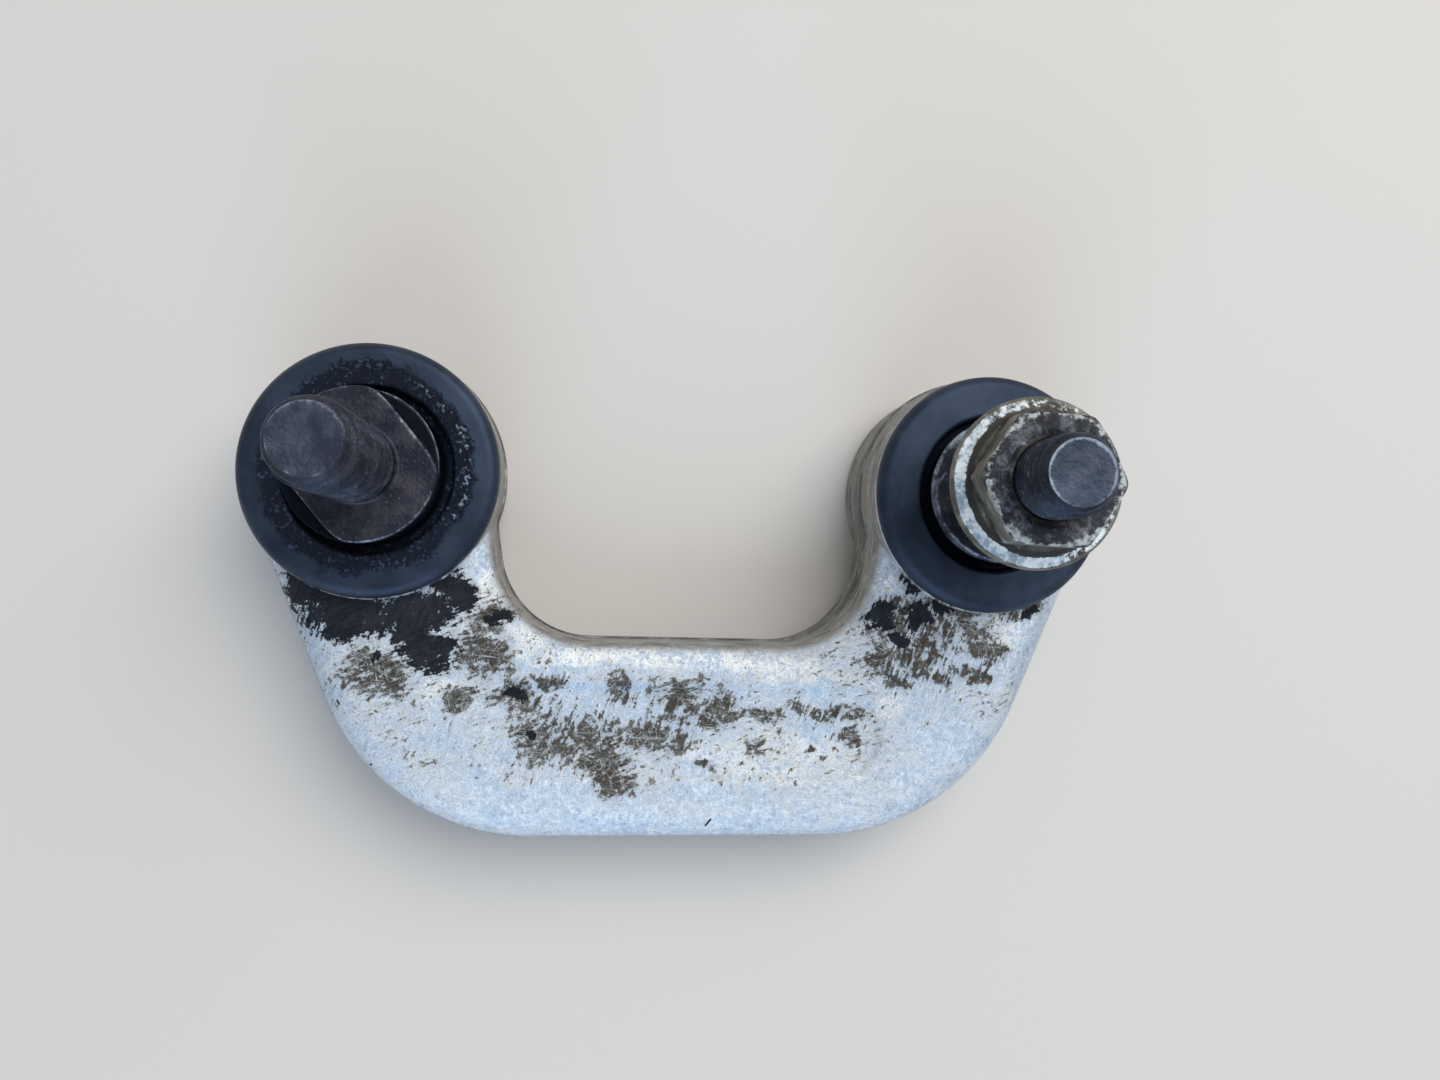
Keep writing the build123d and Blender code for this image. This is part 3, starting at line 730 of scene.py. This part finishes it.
def stud_steel():
    """Dark, oily steel with worn edges, brown rust in its thread and a painted highlight along one
    side of the collar's foot.
    """
    s = Shader("stud_steel")
    cloud = s.noise(3.0, detail=6.0, roughness=0.65, seed=2.0)
    grain = s.noise(0.5, detail=4.0, roughness=0.6, seed=8.0)
    clouded = s.between(cloud, -0.12, 0.12)
    colour = s.mix(clouded, STUD_DARK, STUD_PALE)
    rust = s.product(s.kept("rusty"), s.between(cloud, 0.02, 0.14))
    colour = s.cover(colour, STUD_RUST, rust, 0.35)
    colour = s.mix(s.between(grain, 0.08, 0.20), colour, STUD_SPECKS)
    colour = s.mix(s.kept("end"), colour, s.mix(clouded, STUD_END_DARK, STUD_END_PALE))
    grease = s.product(s.kept("greasy"), s.between(cloud, -0.24, -0.06))
    colour = s.mix(grease, colour, STUD_GREASE)
    # Worn edges, and the painted highlight along one side of the collar's foot
    worn = s.between(s.total((s.kept("worn"), 1.0), (cloud, 1.6), (grain, 1.0)), 0.30, 0.80)
    colour = s.cover(colour, STUD_WORN_AND_HIGHLIGHT, worn, 0.85)
    return s.surface(
        Base_Color=colour,
        Metallic=0.3,
        Roughness=0.40,
        Specular_IOR_Level=s.blend(s.kept("greasy"), 0.5, 0.12),
        Specular_Tint=BLUE_SHEEN,
        Normal=s.bump(s.total((grain, 1.0), (cloud, 1.0)), 0.10),
    )


def nut_steel():
    """Olive-grey corroded plating, with white corrosion along the flange that is whiter on the lower
    left as a painted highlight, and worn on the hexagon's edges.
    """
    s = Shader("nut_steel")
    cloud = s.noise(2.6, detail=8.0, roughness=0.70, seed=1.0)
    fine = s.noise(0.8, detail=6.0, roughness=0.68, seed=6.0)
    ragged = s.total((cloud, 4.5), (fine, 2.5))
    both = s.total((fine, 1.0), (cloud, 1.0))
    colour = s.mix(s.between(cloud, -0.10, 0.12), NUT_DARK, NUT_PALE)
    colour = s.mix(s.between(fine, 0.05, 0.16), colour, NUT_SPECKS)
    side = s.mix(s.between(cloud, -0.1, 0.1), NUT_SIDE_DARK, NUT_SIDE_PALE)
    colour = s.mix(s.kept("side"), colour, side)
    top = s.mix(s.between(both, -0.06, 0.16), NUT_TOP_DARK, NUT_TOP_PALE)
    colour = s.mix(s.kept("top"), colour, top)
    worn = s.between(s.total((s.kept("worn"), 1.0), (ragged, 0.7)), 0.42, 0.72)
    worn_colour = s.mix(s.between(fine, -0.1, 0.1), NUT_WORN_DARK, NUT_WORN_PALE)
    colour = s.cover(colour, worn_colour, worn, 0.9)
    fringe = s.between(s.total((s.kept("fringe"), 1.0), (ragged, 0.30)), 0.34, 0.62)
    fringe = s.product(fringe, s.between(s.kept("fringe"), 0.02, 0.10))
    colour = s.cover(colour, NUT_FRINGE, fringe, 0.85)
    # White corrosion on the flange's cone, with a painted highlight on one side
    chalky_and_highlit = s.between(s.total((s.kept("chalk_and_highlight"), 1.0), (ragged, 0.32)), 0.36, 0.52)
    colour = s.mix(chalky_and_highlit, colour, s.mix(s.between(both, -0.16, 0.10), CHALK_AND_HIGHLIGHT_BLUE, CHALK_AND_HIGHLIGHT_WHITE))
    return s.surface(
        Base_Color=colour,
        Metallic=s.blend(chalky_and_highlit, 0.30, 0.0),
        Roughness=0.48,
        Normal=s.bump(both, 0.30),
    )


def rubber(name, greasy):
    """Black moulded rubber with a dusty blue sheen, or where it is greasy with wet grit, light bluish
    grains that are partly painted highlights, and painted highlights on one side; its fold painted
    near black as shade and dirt.
    """
    s = Shader(name)
    cloud = s.noise(6.0, detail=5.0, roughness=0.6, seed=4.0)
    grit = s.noise(1.4, detail=8.0, roughness=0.74, seed=2.0)
    patches = s.noise(7.0, detail=3.0, roughness=0.5, seed=17.0)
    colour = s.mix(s.between(cloud, -0.12, 0.12), RUBBER_DARK, RUBBER_PALE)
    wetness = s.between(s.total((s.kept("wet"), 1.0), (grit, 1.8), (patches, 1.6)), 0.26, 0.66)
    if greasy:
        dots = s.noise(0.55, detail=3.0, roughness=0.6, seed=12.0)
        # Grains of grit in the grease, made light and bluish, partly as painted highlights
        grit_and_glint_specks = s.between(s.total((grit, 1.0), (dots, 1.0)), 0.06, 0.20)
        painted_glint_zone = s.kept("painted_glint_zone")
        # Painted highlights: light marks on one side of the greasy band
        painted_glints = s.between(s.total((painted_glint_zone, 0.30), (grit, 1.0), (dots, 0.5)), 0.28, 0.40)
        colour = s.mix(wetness, colour, RUBBER_WET)
        colour = s.cover(colour, RUBBER_GRIT_AND_GLINT_SPECKS, s.product(wetness, grit_and_glint_specks), 0.7)
        colour = s.cover(colour, RUBBER_PAINTED_GLINTS, s.product(painted_glints, painted_glint_zone), 0.85)
    # Painted shade and dirt: the fold inside the mouth is made near black and less shiny
    deep = s.kept("deep")
    relief = s.product(grit, s.math("ADD", wetness, 0.08))
    return s.surface(
        Base_Color=s.mix(deep, colour, FOLD_DIRT_AND_SHADE),
        Roughness=s.blend(wetness, 0.44, 0.18) if greasy else 0.52,
        Specular_IOR_Level=s.blend(deep, 0.5, 0.08),
        Specular_Tint=BLUE_SHEEN,
        Normal=s.bump(relief, 0.9 if greasy else 0.2),
    )


def hidden_steel(name, colour, roughness):
    """Slightly clouded steel of the small hidden parts."""
    s = Shader(name)
    cloud = s.noise(3.0, detail=6.0, seed=2.0)
    darker = tuple(channel * 0.6 for channel in colour)
    return s.surface(
        Base_Color=s.mix(s.between(cloud, -0.15, 0.15), darker, colour),
        Metallic=0.8,
        Roughness=roughness,
        Normal=s.bump(cloud, 0.05),
    )


def plain(name, colour, roughness):
    return Shader(name).surface(Base_Color=colour, Roughness=roughness)


def dress(name, material):
    """Gives a solid of the frame its material."""
    slots = frame["nodes"][name].data.materials
    slots.clear()
    slots.append(material)


def take_place(thing, material, node):
    """Shows a finished piece instead of a solid of the frame."""
    thing.data.materials.append(material)
    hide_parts(node)


def collar_outline(angles, side):
    """Radius of the collar's flatted part at each angle, its four corners rounded."""
    across = np.abs(np.cos(angles - math.radians(FLAT_TURNS[side])))
    flat = COLLAR_FLATS / 2 / np.maximum(across, LEAST_COSINE)
    least, most = np.minimum(flat, COLLAR_RADIUS), np.maximum(flat, COLLAR_RADIUS)
    near_corner = np.clip(1 - (most - least) / COLLAR_CORNER, 0, 1)
    return least - COLLAR_CORNER * near_corner ** 2 / 4


def thread_radius(angles, height):
    """Radius of the thread at one height: flat crests and roots, and flanks about 60 degrees apart."""
    phase = (height / THREAD_PITCH - angles / math.tau) % 1.0
    cut = ramp(np.abs(phase - 0.5) * 2, CREST_SHARE, ROOT_SHARE) * THREAD_DEPTH
    run_in = ramp(height, THREAD_START, THREAD_START + THREAD_PITCH)
    shank = SHANK_RADIUS + (THREAD_CREST - SHANK_RADIUS) * run_in
    taper = TIP_RADIUS + (THREAD_CREST - TIP_RADIUS) * (STUD_TIP - height) / TIP_TAPER
    return np.minimum(shank - cut * run_in, taper - TIP_THREAD_SHARE * cut)


def ball_and_neck():
    """(radius, height) rows from the ball's lowest point to the foot of the collar's flats."""
    neck_angle = math.asin(NECK_RADIUS / BALL_RADIUS)
    ball = [
        (BALL_RADIUS * math.sin(angle), -BALL_RADIUS * math.cos(angle))
        for angle in np.linspace(0, math.pi - neck_angle, BALL_STEPS)
    ]
    neck = rounded([
        (*ball[-1], 0),
        (NECK_RADIUS, COLLAR_BASE - NECK_FLARE, NECK_ROUNDING),
        (NECK_TOP_RADIUS, COLLAR_BASE, 0),
        (COLLAR_RADIUS, COLLAR_BASE, 0.35),
        (COLLAR_RADIUS, COLLAR_RIM_TOP, 0.15),
        (COLLAR_RADIUS - COLLAR_EDGE, COLLAR_RIM_TOP, 0),
    ])
    return ball + neck[:-1]


def flatted_collar(angles, side):
    """Rows of the collar's flatted part, from its foot to where the thread starts."""
    flat_radius = collar_outline(angles, side)
    outline = rounded([
        (COLLAR_RADIUS, COLLAR_RIM_TOP, 0),
        (COLLAR_RADIUS, COLLAR_TOP, COLLAR_EDGE),
        (SHANK_RADIUS, COLLAR_TOP, SHANK_ROUNDING),
        (SHANK_RADIUS, THREAD_START, 0),
    ])
    rows = [(np.maximum(COLLAR_RADIUS - COLLAR_EDGE, flat_radius), COLLAR_RIM_TOP)]
    for radius, height in divided(outline, STUD_RUN):
        inset = min(COLLAR_RADIUS - radius, COLLAR_EDGE)
        rows.append((np.minimum(radius, flat_radius - inset), height))
    return rows


def threaded_shank(angles):
    """Rows of the thread and the slightly dished end face."""
    turns = np.arange(THREAD_START + THREAD_STEP, STUD_TIP - THREAD_STEP / 2, THREAD_STEP)
    rows = [(thread_radius(angles, height), height) for height in (*turns, STUD_TIP)]
    dish = STUD_TIP - TIP_DISH
    return rows + [(TIP_RIM_RADIUS, STUD_TIP), (TIP_DISH_RADIUS, dish), (0, dish)]


def mark_stud(stud, side):
    """Keeps on the mesh where the stud is worn, where a painted highlight runs along the collar's
    foot, where it is greasy or rusty, and where its end face is.
    """
    radii, around, heights = polar_points(stud)
    off_edge = np.hypot(radii - collar_outline(around, side), heights - COLLAR_TOP)
    off_foot = np.hypot(radii - COLLAR_RADIUS, heights - COLLAR_RIM_TOP)
    off_tip = np.hypot(radii - TIP_RADIUS, heights - STUD_TIP)
    # Painted highlight: a thin light line along the collar's foot, on one side only
    foot_highlight_side = np.clip(np.cos(around - math.radians(COLLAR_FOOT_HIGHLIGHT_AT)), 0, 1)
    foot_highlight = 0.6 * bell(off_foot, 0.16) * foot_highlight_side
    crest = ramp(radii, 4.85, 4.95) * (heights > THREAD_START)
    collar_side = (radii > 9.4) & (heights > COLLAR_BASE - 0.1) & (heights < COLLAR_TOP - 0.1)
    worn = [
        0.62 * bell(off_edge, 0.34), foot_highlight, TIP_WEAR[side] * bell(off_tip, 0.36),
        0.22 * crest, COLLAR_CHALK[side] * collar_side,
    ]
    below_flats = (radii > 6.5) & (heights < COLLAR_TOP - 0.8) & (heights > COLLAR_BASE - 1)
    mark(stud, "worn", np.max(worn, axis=0))
    mark(stud, "greasy", COLLAR_GREASE[side] * (below_flats & (foot_highlight < 0.2)))
    mark(stud, "rusty", ramp(np.abs(heights - COLLAR_TOP), 4, 0))
    mark(stud, "end", ramp(heights, STUD_TIP - 0.3, STUD_TIP - 0.1))


def ball_stud(side, material):
    """Ball, neck, collar with two flats and a threaded shank in one turned piece."""
    angles = spokes(SEGMENTS)
    rows = ball_and_neck() + flatted_collar(angles, side) + threaded_shank(angles)
    stud = turned(f"{side}_threaded_stud", rows, angles)
    mark_stud(stud, side)
    put_on_stud(stud, side)
    take_place(stud, material, f"{side}_ball_stud")
    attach(stud, f"{side}_stud")


def worn_hexagon(angles):
    """Radius of the nut's hexagon at each angle, its corners rounded by a smooth minimum."""
    in_face = (angles - math.radians(NUT_TURN)) % HEXAGON_TURN - HEXAGON_TURN / 2
    flat = NUT_FLATS / 2 / np.cos(in_face)
    both = np.exp(-NUT_CORNER_SHARPNESS * flat) + np.exp(-NUT_CORNER_SHARPNESS * NUT_CORNER_RADIUS)
    return np.minimum(-np.log(both) / NUT_CORNER_SHARPNESS, NUT_CORNER_RADIUS)


def nut_flange():
    """(radius, height) rows of the nut's seat and its flange's edge."""
    edge = rounded([
        (NUT_BORE + NUT_BORE_CHAMFER, 0, 0),
        (NUT_FLANGE_RADIUS, 0, 0.3),
        (NUT_FLANGE_RADIUS, NUT_FLANGE_EDGE, 0.3),
        (NUT_CONE_RADIUS, NUT_CONE_BASE, 0),
    ])[1:]
    bore = [(NUT_BORE, NUT_BORE_CHAMFER), (NUT_BORE + NUT_BORE_CHAMFER, 0)]
    return bore + divided(edge, NUT_RUN)


def nut_hexagon(hexagon):
    """Rows of the flange's cone, the hexagon and its top face, down into the bore."""
    foot = NUT_FLANGE_EDGE + (NUT_FLANGE_RADIUS - hexagon) * NUT_CONE_SLOPE
    shoulder = NUT_HEIGHT - np.maximum(0, hexagon - NUT_TOP_RADIUS) * NUT_CHAMFER_SLOPE
    rows = []
    for share in np.linspace(0.15, 1, 6):
        radius = NUT_CONE_RADIUS + (hexagon + 0.1 - NUT_CONE_RADIUS) * share
        rows.append((radius, NUT_CONE_BASE + (foot - NUT_CONE_BASE) * share))
    for share in np.linspace(0.06, 1, 12):
        rows.append((hexagon, foot + (shoulder - NUT_EDGE_WEAR - foot) * share))
    rows.append((hexagon - 0.08, shoulder))
    rows.append((np.minimum(hexagon - 0.35, NUT_TOP_RADIUS), NUT_HEIGHT))
    rows += [(radius, NUT_HEIGHT) for radius in NUT_TOP_RINGS]
    width, depth = NUT_TOP_CHAMFER
    return rows + [(NUT_BORE + width, NUT_HEIGHT - 0.1), (NUT_BORE, NUT_HEIGHT - depth)]


def mark_nut(nut):
    """Keeps on the mesh where the nut has white corrosion with a painted highlight, where it is dark
    or worn, and its sides and top face.
    """
    radii, around, heights = polar_points(nut)
    # Side on which the flange's white is strongest, as a painted highlight
    chalk_and_highlight_side = 0.5 + 0.5 * np.cos(around - math.radians(NUT_CHALK_AND_HIGHLIGHT_AT))
    cone = ramp(radii, 9.1, 9.6) * ramp(radii, 10.85, 10.55) * (heights > NUT_FLANGE_EDGE - 0.2)
    inside = bell(radii - 9.0, 0.45) * (heights < NUT_FLANGE_HEIGHT + 0.6)
    flange_side = (radii > 10.5) & (heights < NUT_FLANGE_EDGE + 0.3)
    in_face = (around - math.radians(NUT_TURN)) % HEXAGON_TURN
    off_corner = np.minimum(in_face, HEXAGON_TURN - in_face) * radii
    corner = bell(off_corner, 0.5) * (radii > 8.6) * (heights > NUT_FLANGE_HEIGHT)
    top_edge = bell(radii - 8.15, 0.5) * (heights > NUT_HEIGHT - 0.8)
    mark(nut, "chalk_and_highlight", cone * (0.26 + 0.54 * chalk_and_highlight_side))
    mark(nut, "fringe", inside * (0.35 + 0.65 * chalk_and_highlight_side))
    mark(nut, "side", flange_side + 0.6 * (heights > NUT_FLANGE_HEIGHT + 1))
    mark(nut, "worn", np.maximum(0.75 * top_edge, 0.4 * corner))
    mark(nut, "top", heights > NUT_HEIGHT - 0.3)


def flange_nut(material):
    """Hexagon flange nut, its corners and top edges rounded by wear."""
    angles = spokes(2 * SEGMENTS)
    rows = nut_flange() + nut_hexagon(worn_hexagon(angles))
    nut = turned("worn_flange_nut", rows, angles, closed=True)
    mark_nut(nut)
    nut.data.transform(Matrix.Translation((0, 0, NUT_SEAT * MM)))
    put_on_stud(nut, "right")
    take_place(nut, material, "flange_nut")
    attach(nut, "nut")


def boot_outline():
    """Closed (radius, height) outline: bead, shoulder, flat band, deep fold and sleeve."""
    outside = [
        (BEAD_OUTER, BEAD_LOW, 0.2),
        (BEAD_OUTER, BOOT_SEAT, 0),
        (BOOT_RADIUS, BOOT_SEAT, 0.5),
        (BOOT_RADIUS, BOOT_TOP - BOOT_BAND_DROP, BOOT_SHOULDER),
        (BOOT_MOUTH, BOOT_TOP, 0.5),
        (BOOT_MOUTH - 0.6, FOLD_FLOOR, 0.2),
    ]
    sleeve_outside = [
        (9.9, FOLD_FLOOR, 0.3),
        (9.7, BOOT_TOP + 0.2, 0.5),
        (8.8, BOOT_TOP + 1.7, 0.3),
        (LIP_RADIUS, SLEEVE_END + 0.1, 0.3),
        (LIP_RADIUS, LIP_TOP, 0.2),
    ]
    sleeve_inside = [
        (LIP_BORE, LIP_TOP, 0),
        (5.8, SLEEVE_END - 0.2, 0.1),
        (6.7, BOOT_TOP + 2.0, 0.2),
        (8.0, BOOT_TOP + 1.2, 0.2),
        (8.9, BOOT_TOP, 0.4),
        (9.0, BOOT_SEAT + 0.1, 0.1),
    ]
    inside = [
        (BOOT_MOUTH, BOOT_SEAT + 0.1, 0.1),
        (BEAD_INNER, BOOT_TOP - BOOT_WALL, 0.2),
        (BOOT_RADIUS - BOOT_WALL, BOOT_TOP - 1.5, 0.2),
        (BOOT_RADIUS - BOOT_WALL, BOOT_SEAT + BOOT_FLOOR, 0.2),
        (BEAD_INNER + BOOT_FLOOR, BOOT_SEAT + BOOT_FLOOR, 0.2),
        (BEAD_INNER, BOOT_SEAT, 0.2),
        (BEAD_INNER, BEAD_LOW, 0.2),
    ]
    corners = outside + sleeve_outside + sleeve_inside + inside
    return divided(rounded(corners, closed=True), BOOT_RUN, closed=True)


def mark_boot(boot, side):
    """Keeps on the mesh where the boot is wet, where its painted highlights go, and where its fold is
    painted near black as shade and dirt.
    """
    radii, around, heights = polar_points(boot)
    above = heights > BOOT_SEAT + 0.5
    # Side of the boot where the painted highlights go
    painted_glint_side = np.clip(np.cos(around - math.radians(BOOT_PAINTED_GLINTS_AT)), 0, 1)
    mark(boot, "wet", ramp(radii, GRIME_REACH[side], GRIME_REACH[side] - 2.2) * above)
    # Where the fold is painted near black, as its shade and dirt
    mark(boot, "deep", ramp(radii, FOLD_DIRT_AND_SHADE_REACH[side], FOLD_DIRT_AND_SHADE_REACH[side] - 0.3))
    mark(boot, "painted_glint_zone", bell(radii - 13.0, 1.1) * above * painted_glint_side)


def lean_sleeve(boot, angle):
    """Leans the boot's sleeve towards -x, from nothing at the mouth to the whole angle at its end."""
    place = points_of(boot)
    share = ramp(place[:, 2], BOOT_TOP, SLEEVE_END)
    turn = share * share * (3 - 2 * share) * angle
    x, z = place[:, 0].copy(), place[:, 2].copy()
    place[:, 0] = x * np.cos(turn) - z * np.sin(turn)
    place[:, 2] = x * np.sin(turn) + z * np.cos(turn)
    boot.data.vertices.foreach_set("co", (place * MM).astype(np.float32).ravel())


def dust_boot(side, material):
    """Rubber boot with a round shoulder, a flat band, a deep fold and a lip on the neck."""
    joint = joint_named(f"{side}_stud_spin")
    ball = Vector(joint["pos_m"])
    boot = turned(f"{side}_rubber_boot", boot_outline(), spokes(BOOT_SEGMENTS), closed=True)
    mark_boot(boot, side)
    lean_sleeve(boot, lean_of(joint).angle)
    boot.data.transform(Matrix.Translation(ball))
    boot.data.update()
    take_place(boot, material, f"{side}_dust_boot")
    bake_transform(boot)


def floor():
    """Pale floor just under the part."""
    half, level = FLOOR_HALF * MM, -FLOOR_DROP * MM
    corners = [(-half, -half, level), (half, -half, level), (half, half, level), (-half, half, level)]
    mesh = bpy.data.meshes.new("floor")
    mesh.from_pydata(corners, [], [(0, 1, 2, 3)])
    mesh.materials.append(plain("pale_floor", FLOOR_COLOUR, 0.9))
    shown("floor", mesh)


def area_lamp(name, place, size, power, colour):
    """Round lamp that shines at the origin."""
    lamp = bpy.data.lights.new(name, "AREA")
    lamp.shape = "DISK"
    lamp.size = size
    lamp.energy = power
    lamp.color = colour
    thing = shown(name, lamp)
    thing.location = place
    thing.rotation_euler = (-Vector(place)).to_track_quat("-Z", "Y").to_euler()


def surround():
    """Even, nearly white light from all round."""
    world = bpy.data.worlds.new("surround")
    world.use_nodes = True
    background = world.node_tree.nodes["Background"]
    background.inputs["Color"].default_value = SURROUND_COLOUR
    background.inputs["Strength"].default_value = SURROUND_STRENGTH
    bpy.context.scene.world = world


def photo_camera():
    """Camera at the photograph's place, with its lens."""
    camera = bpy.data.cameras.new("camera")
    camera.sensor_width = SENSOR_WIDTH
    camera.lens = FOCAL_PIXELS / IMAGE_WIDTH * SENSOR_WIDTH
    camera.clip_start = CAMERA_CLIP * MM
    thing = shown("camera", camera)
    thing.location = Vector(CAMERA_PLACE) * MM
    thing.rotation_euler = [math.radians(turn) for turn in CAMERA_TURN]
    bpy.context.scene.camera = thing
    bpy.context.scene.view_settings.view_transform = "Standard"


dress("link_body", ForgedAluminium().finished())
steel = stud_steel()
cap_steel = hidden_steel("cap_steel", CAP_STEEL, 0.45)
ring_steel = hidden_steel("ring_steel", RING_STEEL, 0.35)
plastic = plain("seat_plastic", SEAT_PLASTIC, 0.4)
for end in ("left", "right"):
    dress(f"{end}_closing_cap", cap_steel)
    dress(f"{end}_ball_seat", plastic)
    dress(f"{end}_boot_base_ring", ring_steel)
    dress(f"{end}_boot_neck_ring", ring_steel)
    ball_stud(end, steel)
    dust_boot(end, rubber(f"{end}_boot_rubber", greasy=end == "left"))
flange_nut(nut_steel())
floor()
for lamp in LAMPS:
    area_lamp(*lamp)
surround()
photo_camera()
